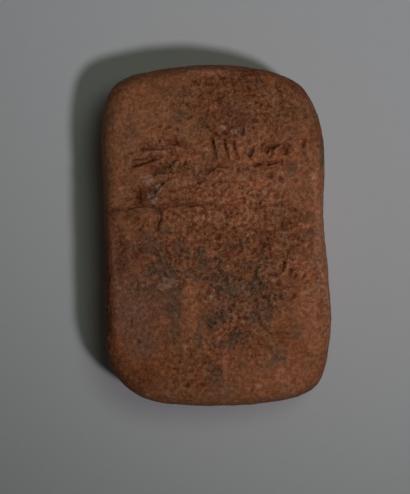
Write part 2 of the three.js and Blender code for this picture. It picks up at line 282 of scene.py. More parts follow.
def face_edge(turn):
    """The width of the edge of the face: that of a side, plus what its two corners add, by powers of the
    cosine and sine of the way between them."""
    side = np.clip(np.floor(turn).astype(int), 0, 3)
    way = (turn - side) * np.pi / 2
    width = FACE_EDGE_SIDES[side]
    before = FACE_EDGE_CORNERS[side] - width
    after = FACE_EDGE_CORNERS[(side + 1) % 4] - width
    return width + before * np.cos(way) ** CORNER_REACH + after * np.sin(way) ** CORNER_REACH


def shape_lump(points):
    """Moves the points of the box to the tablet: rings of the two broad walls become the rim drawn
    smaller, and the height on a side wall becomes an angle on the rounding of the side, where the inset
    and the height follow powers of the cosine and the sine."""
    a, b, c = points.T
    turn = clockwise_turn(a, b)
    edge = np.where(c > 0, face_edge(turn), BACK_EDGE)
    power = 2 / np.where(c > 0, FACE_FULLNESS, BACK_FULLNESS)
    ring = np.where(np.abs(c) == 1, np.maximum(np.abs(a), np.abs(b)), 1)
    angle = np.abs(c) * np.pi / 2
    inner = rim_point(turn, edge)
    plan = rim_point(turn, edge * (1 - np.abs(np.cos(angle)) ** power)) * ring[:, None]
    limit_plan = np.where((ring < 1)[:, None], plan, inner)
    limit = np.where(c > 0, face_height(*limit_plan.T), back_height(*limit_plan.T))
    height = GIRTH_HEIGHT + (limit - GIRTH_HEIGHT) * np.sin(angle) ** power
    return np.column_stack([plan, height])


def point_normals(points):
    """The outward direction at each point: the sum of the crossed diagonals of the faces round it. A
    triangle counts as a quad whose last two corners are one."""
    faces = np.concatenate([quads, triangles[:, [0, 1, 2, 2]]])
    corners = points[faces]
    crossed = np.cross(corners[:, 2] - corners[:, 0], corners[:, 3] - corners[:, 1])
    total = np.zeros_like(points)
    for k in range(4):
        for axis in range(3):
            total[:, axis] += np.bincount(faces[:, k], crossed[:, axis], len(points))
    return total / np.linalg.norm(total, axis=1)[:, None]


lump = shape_lump(box_points)
normals = point_normals(lump)
print("the lump's box is", lump.min(0).round(2), lump.max(0).round(2))

# %% [markdown]
# ## Noise, worked out by hand
# Clay is rough at every scale. Blender's own noise would have to be asked point by point, so a few lines
# of numpy make two kinds for the whole skin at once: smooth lumps, where each corner of a lattice holds a
# random slope, and scattered grit, which tells how far the nearest of a scatter of points is.

# %% Noise helpers
LATTICE = 32  # corners of the noise's lattice each way, after which it repeats
KINDS = 64  # how many patterns there are to choose from
NOISE_GAIN = 1.5  # spreads the noise to about -1 to 1
SEED = 3_400
dice = np.random.default_rng(SEED)
SLOPES = dice.normal(size=(LATTICE, LATTICE, LATTICE, 3))
SLOPES /= np.linalg.norm(SLOPES, axis=-1, keepdims=True)
SCATTER = dice.random((LATTICE, LATTICE, LATTICE, 4))
SHIFTS = dice.random((KINDS, 3)) * LATTICE


def lumps(points, size, kind):
    """Gradient noise from about -1 to 1. The slopes at the eight corners of the cell are blended with the
    curve 6t^5 - 15t^4 + 10t^3, so that it is smooth across the cells. Each kind is another pattern."""
    place = points / size + SHIFTS[kind]
    cell = np.floor(place).astype(int)
    inside = place - cell
    ease = inside**3 * (inside * (inside * 6 - 15) + 10)
    total = np.zeros(len(points))
    for corner in itertools.product((0, 1), repeat=3):
        index = (cell + corner) % LATTICE
        slope = SLOPES[index[:, 0], index[:, 1], index[:, 2]]
        weight = np.prod(np.where(corner, ease, 1 - ease), axis=1)
        total += weight * ((inside - corner) * slope).sum(1)
    return total * NOISE_GAIN


def rough(points, size, octaves, kind, keep=0.6):
    """Lumps of a size, with lumps of half that size on them, and so on, each lower by the share kept."""
    layers = [keep**k * lumps(points, size / 2**k, kind + k) for k in range(octaves)]
    return sum(layers) / sum(keep**k for k in range(octaves))


def grit(points, size, kind):
    """For each point: the distance to the nearest grain, in cells, and that grain's own random number.
    Each cell of the lattice holds one grain at a random place, and the 27 cells around are tried."""
    place = points / size + SHIFTS[kind]
    cell = np.floor(place).astype(int)
    nearest = np.full(len(points), np.inf)
    mark = np.zeros(len(points))
    for step in itertools.product((-1, 0, 1), repeat=3):
        index = (cell + step) % LATTICE
        grain = SCATTER[index[:, 0], index[:, 1], index[:, 2]]
        distance = np.linalg.norm(cell + step + grain[:, :3] - place, axis=1)
        mark = np.where(distance < nearest, grain[:, 3], mark)
        nearest = np.minimum(distance, nearest)
    return nearest, mark


def smooth(value, start, end):
    """0 before start, 1 after end, and the curve 3t^2 - 2t^3 between them."""
    t = np.clip((value - start) / (end - start), 0, 1)
    return t * t * (3 - 2 * t)


print(f"the noise has {KINDS} patterns, and each repeats after {LATTICE} of its cells")

# %% [markdown]
# ## The pressed strokes
# A scribe pressed the corner of a cut reed into the clay. Each stroke is a wedge: a steep deep head, and
# a tail that runs out. On this tablet they are rubbed and half filled, so they are shallow, their edges
# waver, and many are gone. They could be cut with booleans, but a skin of points can simply be pushed
# in: the depth at a point follows from how far along and how far beside the stroke it is.
# The strokes only keep the places and sizes of the worn writing. They spell nothing.

# %% Stroke depths
WAVER = 0.13  # how far the edges of a stroke wander
WAVER_SIZE = 1.1
DEEPEST = 2.2  # in millimetres, and the depth of each stroke is a share of it
VALLEY_ROUNDNESS = 1.5  # 1 is a sharp valley, and more is a rounder one
HEAD_SLOPE = (-0.28, 0.1)  # where a stroke starts and where it is deepest, in millimetres from its head
TAIL_NARROWING = 0.45  # how much of its width a stroke loses on its way
TAIL_POWER = 0.45  # less than 1 keeps the depth for longer
FACING = (0.35, 0.8)  # the share of up in the outward direction at the rim of the face, and inside it
on_face = smooth(normals[:, 2], *FACING)
on_back = smooth(-normals[:, 2], *FACING)


def wander(reach, size, octaves, kinds):
    """How far a drawn line wavers at each point: a reach times one noise for x and another for y."""
    return reach * np.stack([rough(lump, size, octaves, kind) for kind in kinds], -1)


plan = lump[:, :2] + wander(WAVER, WAVER_SIZE, 3, (1, 5))


def wedge_depth(head, tail, width, depth, lean=0.0):
    """Depth of one wedge: full at the head and falling to nothing at the tail, and from the valley to the
    two edges. Lean moves the valley to one side, so that one wall is steep and the other is gentle."""
    head, tail = np.array(head), np.array(tail)
    run = np.linalg.norm(tail - head)
    along = (tail - head) / run
    offset = plan - head
    share = offset @ along / run
    beside = offset @ np.array([-along[1], along[0]])
    half = width / 2 * (1 - TAIL_NARROWING * np.clip(share, 0, 1))
    valley = lean * half
    wall = np.where(beside > valley, half - valley, half + valley)
    across = 1 - np.clip(np.abs(beside - valley) / wall, 0, 1) ** VALLEY_ROUNDNESS
    taper = smooth(share * run, *HEAD_SLOPE) * np.clip(1 - share, 0, 1) ** TAIL_POWER
    return DEEPEST * depth * across * taper


def press(strokes):
    """The deepest of a list of strokes at each point: head, tail, width, depth and lean."""
    return np.max([wedge_depth(*stroke) for stroke in strokes], axis=0)


print(f"{np.mean(on_face > 0):.0%} of the points look up enough to be on the face")

# %% Strokes of the first line
UPRIGHTS = [
    ((-0.65, 12.6), (0, 9.7), 0.7, 0.40, 0.5), ((0.95, 12.4), (1.65, 9.6), 0.62, 0.36, 0.5),
    ((2.15, 12.2), (2.85, 9.7), 0.58, 0.34, 0.5),
]
LEFT_SIGN = [
    ((-10.9, 9.4), (-6.6, 10.5), 1.2, 0.40, -0.4), ((-9.9, 11.7), (-5.8, 11.4), 1.4, 0.24, -0.3),
    ((-7.4, 11.5), (-5.4, 11.3), 0.6, 0.22, -0.3), ((-6.5, 12.2), (-3.8, 11.8), 1.1, 0.34, -0.2),
    ((-5.9, 10.7), (-4.4, 10.4), 0.7, 0.26, -0.2), ((-6.1, 8.9), (-6.8, 9.9), 0.7, 0.34),
    ((-8.4, 8.3), (-5.5, 9.8), 1.5, 0.24, -0.2), ((-7.6, 8.4), (-5.7, 8.3), 0.9, 0.24, -0.2),
    ((-4.1, 9.6), (-4.5, 8.9), 0.5, 0.26), ((-6.1, 14.25), (-7, 13.8), 0.5, 0.24),
    ((-5.2, 13.95), (-4.9, 13.6), 0.5, 0.24), ((-7.4, 12.5), (-7.5, 12), 0.4, 0.2),
]
RIGHT_SIGN = [
    ((4.3, 10.4), (5, 11.7), 0.7, 0.28, -0.3), ((6.45, 10.9), (7.1, 12.1), 0.8, 0.34, -0.4),
    ((6.9, 11.4), (8.3, 12.1), 1, 0.26), ((8.6, 10.8), (9.5, 12.1), 1.3, 0.28, -0.4),
    ((11.35, 12.1), (11.15, 10.9), 0.5, 0.34, 0.3), ((11.15, 11.3), (11.6, 10), 0.5, 0.32, 0.3),
    ((5, 9.25), (6.9, 9.45), 0.6, 0.42, -0.35), ((6.6, 9.35), (8.5, 9.75), 0.65, 0.40, -0.35),
    ((8.45, 9.8), (8.6, 9.1), 0.5, 0.28), ((7.9, 14.2), (7.65, 13.3), 0.4, 0.18, 0.2),
    ((11.5, 12.5), (12.2, 12.1), 0.5, 0.28, -0.2),
]
first_line = UPRIGHTS + LEFT_SIGN + RIGHT_SIGN
print(f"the first line has {len(first_line)} strokes")

# %% Strokes of the second line, and marks that stand alone
SECOND_LINE = [
    ((-7.2, 6.9), (-8.6, 5.2), 1, 0.38, 0.3), ((-8.1, 5.3), (-9.3, 4.5), 0.8, 0.32),
    ((-10.1, 5.6), (-10, 4.1), 0.6, 0.30), ((-1.2, 8.2), (0.2, 9.2), 0.6, 0.28, -0.3),
    ((0.1, 9.15), (2, 8.9), 0.5, 0.24, -0.3), ((-2.4, 6.8), (-1.4, 7.2), 0.5, 0.26, -0.2),
    ((-3.2, 6.6), (-2.7, 6.3), 0.4, 0.2), ((2.8, 8.9), (2.75, 7.9), 0.5, 0.26),
    ((2.1, 7), (2.7, 6.9), 0.4, 0.24), ((6.8, 8), (7.4, 7.6), 0.8, 0.34),
    ((8.2, 7.6), (8.8, 6.8), 0.8, 0.24), ((4.3, 7.7), (4.6, 7.5), 0.5, 0.24),
    ((5, 7.1), (5, 6.7), 0.35, 0.26),
]
TOP_NICKS = [
    ((-4, 17.2), (-3.4, 16.6), 0.45, 0.28), ((-3.5, 16.65), (-2.6, 16.8), 0.4, 0.24),
    ((4.1, 19.5), (4.15, 18.7), 0.45, 0.24), ((3.4, 13.8), (3.4, 12.9), 0.65, 0.34),
    ((1, 13.5), (1.5, 13.1), 0.6, 0.30), ((1.9, 14), (1.4, 13.5), 0.4, 0.22),
    ((4.8, 14.2), (4.9, 13.6), 0.4, 0.2), ((11.6, 16.6), (11.7, 16), 0.4, 0.28),
    ((11.75, 15.8), (11.8, 15.3), 0.4, 0.24),
]
RIM_NICKS = [
    ((13.75, -6.2), (13.85, -9), 0.4, 0.16), ((13.9, -8.4), (13.7, -11.4), 0.4, 0.16),
    ((13.1, -4.9), (13.3, -5.9), 0.4, 0.2),
]
LOOSE_MARKS = [
    ((9.35, -2), (9.05, -3.4), 0.4, 0.28, 0.2), ((8.9, -3.5), (8.65, -4.8), 0.5, 0.40, 0.2),
    ((9.75, -4.4), (9.45, -5.8), 0.6, 0.40, 0.2), ((10.4, -5.1), (10, -5.8), 0.5, 0.28, 0.2),
    ((11.5, -5.2), (11.2, -5.7), 0.4, 0.26, 0.2), ((11.9, -6), (11.3, -6.4), 0.4, 0.26, 0.2),
    ((8.6, 1.7), (8.55, 0.6), 0.5, 0.34, 0.2), ((9.05, 1.7), (9.05, 0.6), 0.35, 0.28, 0.2),
    ((10.2, -7.9), (9.3, -8.6), 0.6, 0.26, 0.2), ((10.7, -0.2), (10.6, -0.8), 0.4, 0.30),
    ((5.7, 4.3), (5.7, 3.6), 0.5, 0.34), ((5.3, 5.2), (5.2, 4.7), 0.35, 0.26),
    ((5.1, -5), (5.2, -5.8), 0.4, 0.34), ((6.2, -5.3), (6, -5.9), 0.5, 0.30),
    ((5, -1.8), (4.5, -2.6), 0.5, 0.28), ((6.85, -9), (6.9, -10.2), 0.4, 0.24),
    ((1.3, 2.7), (1.3, 2), 0.5, 0.30), ((-11.1, -11), (-11, -12.1), 0.4, 0.22),
    ((-6.9, -4.6), (-6.6, -5.6), 0.4, 0.24), ((-6.2, -2.9), (-5.7, -3), 0.4, 0.22),
    ((0.2, -17.2), (0.4, -18), 0.5, 0.26),
]
print(f"there are {len(SECOND_LINE + TOP_NICKS + RIM_NICKS + LOOSE_MARKS)} more strokes and marks")

# %% Clay that the reed squeezed up beside its strokes
PUSHED_UP = [
    ((7.3, 10.1), (8, 11.6), 0.6, 0.2, 0.3), ((7.8, 11.2), (10.5, 12.9), 0.7, 0.26),
    ((6.1, 11.2), (6.6, 12.4), 0.5, 0.10, 0.3), ((4.2, 10.1), (5.1, 9.8), 0.5, 0.10),
    ((3.75, 10.6), (4.4, 11.8), 0.5, 0.16), ((-0.15, 12.6), (0.5, 9.6), 0.7, 0.24, -0.5),
    ((1.4, 12.4), (2.1, 9.5), 0.65, 0.26, -0.5), ((2.6, 12.1), (3.25, 9.7), 0.6, 0.22, -0.5),
    ((-10.9, 10.5), (-7.2, 11.2), 0.9, 0.16), ((-10.8, 8.6), (-7, 9.7), 0.8, 0.14),
    ((-5.6, 9.5), (-4.4, 9.5), 0.9, 0.18), ((11.75, 12.1), (11.8, 10.1), 0.5, 0.16),
    ((-1.8, 21.2), (1.6, 21.3), 0.5, 0.10),
]
print(f"the reed squeezed up {len(PUSHED_UP)} ridges")

# %% Two rows on the back
BACK_ROWS_RISE = (10.0, 6.5)
BACK_SLANTS = (0.2, 1.4, 0.9)
BACK_COLUMNS = 6
BACK_PITCH = 3.4
BACK_STROKE = dict(length=2.2, width=0.85, depth=0.3, lean=0.2)


def back_strokes():
    """Two plain rows near the lower end of the back, six strokes each, leaning in turn."""
    strokes = []
    for row, rise in enumerate(BACK_ROWS_RISE):
        for i in range(BACK_COLUMNS):
            x = (i - (BACK_COLUMNS - 1) / 2) * BACK_PITCH
            y = rise - PLAN_BOX[1] / 2
            slant = BACK_SLANTS[(i + row) % len(BACK_SLANTS)]
            half = np.array([slant, -BACK_STROKE["length"]]) / 2
            middle = np.array([x, y])
            section = (BACK_STROKE["width"], BACK_STROKE["depth"], BACK_STROKE["lean"])
            strokes.append((middle - half, middle + half, *section))
    return strokes


print(f"the back has {len(back_strokes())} strokes")

# %% Press all strokes
looks_up = normals[:, 2] > 0
strokes_face = press(first_line + SECOND_LINE + TOP_NICKS + LOOSE_MARKS) * on_face
strokes_face = np.maximum(strokes_face, press(RIM_NICKS) * looks_up)
pushed_up = press(PUSHED_UP) * looks_up
strokes_back = press(back_strokes()) * on_back
print(f"the deepest stroke is {strokes_face.max():.2f} mm")

# %% [markdown]
# ## The ruled line and its crack
# Under the writing the scribe drew a line across. The clay later split along its left half, with a branch
# downwards. A crack is a narrow valley beside a wavering path, so its depth depends only on the distance
# to that path. The path is given by a few points, and noise in the plan makes it waver.

# %% Crack
CRACK_PATHS = [
    [
        (-14.8, 3.3), (-13.0, 3.3), (-11.5, 3.5), (-10.3, 3.85), (-8.9, 3.9), (-7.6, 3.65),
        (-6.4, 3.8), (-5.2, 4.0), (-3.3, 3.95), (-1.6, 4.1), (1.5, 4.3),
    ],
    [(-7.6, 3.65), (-7.3, 2.7), (-7.45, 2.0), (-7.7, 1.0), (-7.6, 0.2)],
]
CRACK_HALF_WIDTH = 0.33
CRACK_DEPTH = 0.6
CRACK_CLOSING = 0.75  # the share of its length after which a crack closes
CRACK_OPENING = (0.8, 0.6)  # how open it is, in shares of its depth, and how far that changes
CRACK_CHANGE_SIZE = 1.6
JAG = 0.16
JAG_SIZE = 0.9
jagged = plan + wander(JAG, JAG_SIZE, 2, (41, 43))


def distance_to_path(path):
    """The distance from each point to the nearest of a path's straight stretches, and how far along the
    whole path that place is, from 0 to 1."""
    path = np.array(path)
    runs = np.linalg.norm(np.diff(path, axis=0), axis=1)
    before = np.concatenate([[0], np.cumsum(runs)])
    best = np.full(len(plan), np.inf)
    progress = np.zeros(len(plan))
    for start, end, run, done in zip(path[:-1], path[1:], runs, before):
        t = np.clip((jagged - start) @ (end - start) / run**2, 0, 1)
        distance = np.linalg.norm(jagged - start - t[:, None] * (end - start), axis=1)
        progress = np.where(distance < best, (done + t * run) / before[-1], progress)
        best = np.minimum(distance, best)
    return best, progress


def crack_depth():
    """A valley along each path, open at its start and closed at its end, broken by slow noise."""
    depth = np.zeros(len(plan))
    for path in CRACK_PATHS:
        distance, progress = distance_to_path(path)
        uneven = CRACK_OPENING[0] + CRACK_OPENING[1] * lumps(lump, CRACK_CHANGE_SIZE, 9)
        opening = (1 - smooth(progress, CRACK_CLOSING, 1)) * uneven
        depth = np.maximum(depth, smooth(1 - distance / CRACK_HALF_WIDTH, 0, 1) * opening)
    return CRACK_DEPTH * np.clip(depth, 0, 1) * on_face


crack = crack_depth()
print(f"the crack is up to {crack.max():.2f} mm deep")

# %% [markdown]
# ## Rubbed, pitted and encrusted
# Burial made the surface grainy. The upper left stayed smoother, and the middle and right are rough,
# with pits where grit fell out and pale crusts of salt that stand a little proud.
# One bump texture would look the same all over. Here a slow mask says how rough each place is, lumps of
# four sizes give dents and grain, short crevices wind between them, and scattered grains give pits and
# proud grains of two sizes each.

# %% Patches with broken edges
BROKEN_EDGE = 0.7  # how far noise shifts the edge of a patch, in shares of its size
COARSEST_FRAY = 1.6  # a patch frays coarsely by its size up to this one, in millimetres
ALL_FRAY = 2.2  # and finely by what that leaves of this
frayed = rough(lump, 2.4, 4, 12, keep=0.75)
finely_frayed = rough(lump, 0.8, 3, 57, keep=0.8)


def patch(x, y, half_width, half_length, softness):
    """A round patch: 1 in its middle and 0 at its rim, which noise breaks up."""
    distance = np.hypot((lump[:, 0] - x) / half_width, (lump[:, 1] - y) / half_length)
    size = min(half_width, half_length, COARSEST_FRAY)
    fray = BROKEN_EDGE * (size * frayed + (ALL_FRAY - size) * finely_frayed)
    return smooth(1 + softness / 2 - distance + fray, 0, softness)


def spread(places, softness=0.7, where=on_face):
    """The strongest of a list of patches at each point, times the share of each, on the face only unless
    another place is asked for."""
    return np.max([place[4] * patch(*place[:4], softness) for place in places], axis=0) * where


print("the edges of patches fray by", finely_frayed.min().round(2), "to", finely_frayed.max().round(2))

# %% How rough each place is
ROUGH_PLACES = [  # middle, half width and half length, and how much rougher it is there
    (4.5, -1, 7.5, 7.5, 0.6), (3, -9, 5, 6, 0.5), (-6, -3, 5.5, 4.5, 0.4), (-3, 4.5, 9, 4, 0.35),
    (0, 10.5, 12, 3, 0.3), (-3, -17, 4, 4, 0.3), (1.5, 17, 6.5, 4, 0.4), (9.5, 17, 3.5, 4, 0.2),
]
ROUGHNESS = (0.3, 0.2)  # elsewhere, and how far slow noise changes it
ROUGHNESS_LIMITS = (0.2, 1.4)
roughness_mask = ROUGHNESS[0] + ROUGHNESS[1] * rough(lump, 6.0, 2, 16)
roughness_mask = roughness_mask + sum(spread([place]) for place in ROUGH_PLACES)
roughness_mask = np.clip(roughness_mask, *ROUGHNESS_LIMITS)
print(f"the roughness is {roughness_mask.mean():.2f} on average")

# %% Dents and grain
SLOW_DENTS = dict(depth=0.12, size=5.0, kind=20)
ROUGH_DENTS = dict(depth=0.2, size=2.6, kind=62)
COARSE_GRAIN = dict(depth=0.23, size=1.5, kind=24)
FINE_GRAIN = dict(depth=0.16, size=0.62, kind=28)
UNDENTED = 0.1  # the roughness up to which there are no rough dents
STROKE_NEARNESS = 0.25  # the depth at which the reed has smoothed the clay fully
STROKE_SMOOTHING = 0.75  # how much of the grain it has smoothed away


def waves(depth, size, kind):
    """Two octaves of lumps, from minus the depth to the depth."""
    return depth * rough(lump, size, 2, kind)


broad = waves(**SLOW_DENTS) + (roughness_mask - UNDENTED) * waves(**ROUGH_DENTS)
near_stroke = smooth(strokes_face + 2 * pushed_up, 0, STROKE_NEARNESS)
grain = waves(**COARSE_GRAIN) + waves(**FINE_GRAIN)
grain = grain * roughness_mask * (1 - STROKE_SMOOTHING * near_stroke)
print(f"dents and grain go {(broad + grain).min():.2f} mm in and {(broad + grain).max():.2f} mm out")

# %% Crevices
CREVICE_DEPTH = 0.08


def crevices(size, half_width, kind, bend=0.3, bend_size=0.4, breaks=(-0.15, 0.3)):
    """Short winding lines: where gradient noise, bent by a finer one, passes through nothing. They appear
    where a slower noise is high enough."""
    beside = np.abs(lumps(lump, size, kind) + bend * lumps(lump, bend_size * size, kind + 1))
    shown = smooth(lumps(lump, 2 * size, kind + 2), *breaks)
    return smooth(half_width - beside, 0, half_width) * shown


winding = np.maximum(crevices(1.1, 0.2, 50), 0.8 * crevices(0.7, 0.22, 53))
crevice_depth = CREVICE_DEPTH * roughness_mask * winding
print(f"crevices cover {np.mean(winding > 0.5):.0%} of the skin")

# %% Pits and proud grains
PIT_RADIUS = (0.18, 0.26)  # in cells: of the smallest pit, and how much larger the largest is
PIT_WALL = 0.8  # the share of the way to the middle at which a pit is deepest
GRAIN_RADIUS = 0.6
ROUGHEST = 1.3  # the roughness past which there are no more pits and grains
GRAINS_FROM = 0.5  # the roughness at which proud grains start


def ragged_grit(size, kind, reach, finer):
    """The distance to the nearest grain, with a finer noise added to it, and the grain's own number."""
    distance, mark = grit(lump, size, kind)
    return distance + reach * lumps(lump, finer * size, kind + 1), mark


def pits(size, share, depth, kind):
    """Pits where a share of the scattered grains fell out: deepest at the grain, gone at its rim."""
    distance, mark = ragged_grit(size, kind, reach=0.22, finer=0.35)
    radius = PIT_RADIUS[0] + PIT_RADIUS[1] * mark / share
    chosen = smooth(share * np.clip(roughness_mask, 0, ROUGHEST) - mark, 0, 0.02)
    return depth * chosen * smooth(1 - distance / radius, 0, PIT_WALL)


def grains(size, height, kind):
    """Grains that stand proud where the clay between them wore away, each by its own height."""
    distance, mark = ragged_grit(size, kind, reach=0.15, finer=0.4)
    return height * mark * np.sqrt(np.clip(1 - (distance / GRAIN_RADIUS) ** 2, 0, 1))


large_pits = pits(size=1.5, share=0.26, depth=0.4, kind=32)
small_pits = pits(size=0.62, share=0.4, depth=0.3, kind=34)
proud_grains = grains(size=0.9, height=0.13, kind=36) + grains(size=0.6, height=0.07, kind=60)
proud_grains = proud_grains * smooth(roughness_mask, GRAINS_FROM, ROUGHEST)
print(f"pits cover {np.mean(large_pits + small_pits > 0.03):.0%} of the skin")

# %% [markdown]
# A few small rings are left where a root or a grain stood in the clay. Each is a groove round an oval,
# so its depth follows from the distance to that oval.

# %% Rings
RINGS = [  # middle, half width and half length, and depth
    ((6.45, -2.0), (0.55, 0.9), 0.34), ((6.1, 0.05), (0.9, 0.45), 0.24), ((0.0, -17.8), (0.5, 0.45), 0.26),
    ((-5.0, 9.5), (0.85, 0.55), 0.26), ((-3.9, -21.0), (0.5, 0.4), 0.16),
]
RING_HALF_WIDTH = 0.26


def ring_depth(middle, half_size, depth):
    """A groove round an oval: deepest where the oval's own measure is 1, gone a little inside and out."""
    x, y = (plan - np.array(middle)).T
    measure = np.hypot(x / half_size[0], y / half_size[1])
    distance = np.abs(measure - 1) * min(half_size)
    return depth * smooth(1 - distance / RING_HALF_WIDTH, 0, 1)


rings = np.max([ring_depth(*ring) for ring in RINGS], axis=0) * on_face
print(f"the {len(RINGS)} rings are up to {rings.max():.2f} mm deep")

# %% [markdown]
# Salt grew out of the clay in small pale crusts. Each is a low mound, so it is a patch that is raised a
# little as well as coloured. A few scattered grains of salt lie between them.

# %% Salt
SALT_SPOTS = [
    (-8.9, 7.3, 0.75, 0.7, 0.75), (-7.4, 6.1, 0.45, 0.5, 0.9), (-8.2, 4.8, 0.55, 0.5, 1),
    (0.9, 14, 0.6, 0.35, 0.8), (2.2, 13.5, 0.45, 0.4, 0.8), (12.4, 7.6, 0.35, 0.6, 0.7),
    (-1.8, 6.6, 0.4, 0.3, 0.7), (5.5, -19.7, 0.4, 0.3, 0.6), (-6.4, -6.3, 1, 0.8, 0.5),
    (-0.7, -8.3, 0.15, 0.5, 0.8), (-7.9, -5.4, 0.6, 0.12, 0.7), (-3.5, -5.7, 0.5, 0.12, 0.7),
]
SALT_HEIGHT = 0.07
SPECK_SHARE = 0.04  # how many of the scattered grains are salt
SPECK_RADIUS = 0.3
SPECK_STRENGTH = 0.6
salt_grain, salt_mark = grit(lump, 1.1, 38)
specks = smooth(SPECK_RADIUS - salt_grain + SPECK_RADIUS * finely_frayed, 0, SPECK_RADIUS / 2)
specks = specks * smooth(SPECK_SHARE - salt_mark, 0, SPECK_SHARE / 4)
salt = np.maximum(spread(SALT_SPOTS), SPECK_STRENGTH * specks)
print(f"salt covers {np.mean(salt > SPECK_STRENGTH / 2):.1%} of the skin")

# %% [markdown]
# ## Putting the relief together
# Everything that goes in or out is added along the outward direction of the bare lump. The reed pressed
# grains and pits flat where it touched, so they fade there. The resting spot on the back stays flat, so
# nothing there may go lower than the table.

# %% Relief
GRAINS_PRESSED = 0.8  # how much of the proud grains is gone beside a stroke
PITS_PRESSED = 0.5  # and of the small pits inside one
RESTING_HEIGHT = 0.35  # the spot is flat up to near this height of the lump
RESTING_FADE = 0.3
RESTING_LIFT = 0.02  # keeps the spot clear of the table
HIGHEST_GRAIN = 0.2
cut = np.max([strokes_face, strokes_back, crack, rings], axis=0)
raised = broad + grain + proud_grains * (1 - GRAINS_PRESSED * near_stroke)
raised = raised + SALT_HEIGHT * salt + pushed_up * (1 - smooth(cut, 0, 0.1))
sunk = np.maximum(cut, large_pits) + small_pits * (1 - PITS_PRESSED * smooth(cut, 0, 0.2))
relief = raised - sunk - crevice_depth
resting = smooth(RESTING_HEIGHT - lump[:, 2], 0, RESTING_FADE) * on_back
relief = relief * (1 - resting) - RESTING_LIFT * resting
skin = lump + normals * relief[:, None]
skin[:, 2] = np.clip(skin[:, 2], 0, THICKNESS + HIGHEST_GRAIN)
print("the skin's box is", skin.min(0).round(2), skin.max(0).round(2))

# %% [markdown]
# ## Where the colours lie
# The clay is orange brown, and its colour changes in patches: grey and olive stains from the soil,
# ochre specks and pale salt. Darker red in the hollows of the grain and in the strokes, cracks and pits
# is partly earth and partly painted shade, and paler raised grain is partly dust and partly painted
# highlight. A darker strip along the left side and a band along the top edge are painted shade, and a
# paler strip down the right side and a line on the top lip are painted highlights. Each of these is a
# mask on the skin, a number at every point that is 0 where the colour is missing, and the material reads
# it and mixes further. A painted picture could do the same, but masks that are worked out stay sharp in
# every view and follow the relief.

# %% Places of stains and earth, and painted shade along two edges
SOIL_STAINS = [  # middle, half width, half length and strength, as for each list below
    (-8.3, -1.5, 2, 1.12, 0.8), (-7, -3, 0.75, 0.75, 0.9), (-7.7, -4.6, 1.88, 1.25, 0.9),
    (-6.3, -5.2, 1.38, 1.12, 0.9), (-6.8, -7.6, 1.5, 1.25, 0.7), (-5.4, -7.2, 1.12, 1.12, 0.8),
    (-5.6, -9.3, 1, 1.62, 1), (-5.4, -11.6, 0.62, 1.88, 0.8), (-9.4, 0, 1.12, 1, 0.6),
    (-6.6, 0.5, 0.88, 0.62, 0.6), (-4.4, -1.3, 1.25, 1, 0.6), (-4.2, -2.6, 1.38, 0.5, 0.6),
    (-1.9, -2.9, 0.85, 1.6, 1.1), (-1.7, -4.4, 1.25, 1, 0.7), (-1, -5.4, 2, 0.75, 0.8),
    (0.8, -5.6, 1.88, 1.25, 0.8), (2.3, -6.4, 2.12, 1.88, 0.85), (5, -6.4, 1.62, 1.25, 1),
    (6.2, -8, 1.88, 1.5, 0.8), (8.5, -8.6, 1, 1, 0.6), (3.6, -0.7, 1, 0.62, 0.8),
    (0.5, -3.6, 0.88, 1.38, 0.7), (4.2, -4, 2, 0.88, 0.6), (6, -3.6, 1, 1.25, 0.6),
    (10.5, 2.1, 1.25, 1.12, 0.45), (12.6, 2.3, 0.75, 0.75, 0.5), (12.5, 0.2, 1.38, 0.88, 0.7),
    (13.2, -3.3, 0.5, 0.75, 0.6), (13.4, -5.9, 0.38, 1.12, 0.8), (-0.6, -11.3, 1, 1, 0.8),
    (0.7, -10.5, 1.88, 0.62, 1), (1.6, -9.6, 1.12, 0.5, 0.8), (6.8, -10.4, 0.62, 1.38, 0.8),
    (2.3, -13.3, 0.75, 1, 1), (0.9, -14.3, 1.5, 0.5, 0.9), (3.3, -13.3, 0.62, 1, 0.7),
    (8.5, -15.8, 0.75, 0.75, 0.6), (3.4, -17, 0.56, 0.31, 0.6), (-0.2, -18.6, 1.25, 1.25, 0.7),
    (-2.2, -13.5, 0.38, 2, 0.7), (10.4, -12.5, 1, 1.12, 0.4), (-4.2, 15.7, 1.12, 0.75, 0.8),
    (13.9, 10.5, 0.5, 1.75, 1.3), (4.6, 10.9, 0.5, 0.62, 0.6), (3.4, 13.4, 0.38, 0.5, 0.8),
    (9.9, 8.8, 0.6, 1.4, 0.6), (1.6, -1.6, 1.5, 0.62, 0.6), (-12.1, 3.2, 2.75, 0.5, 0.5),
    (-7.5, 3.3, 0.62, 0.38, 0.8), (-10.9, 13.9, 1, 1.25, 0.3), (5.5, -11, 2, 1.5, 0.4),
]
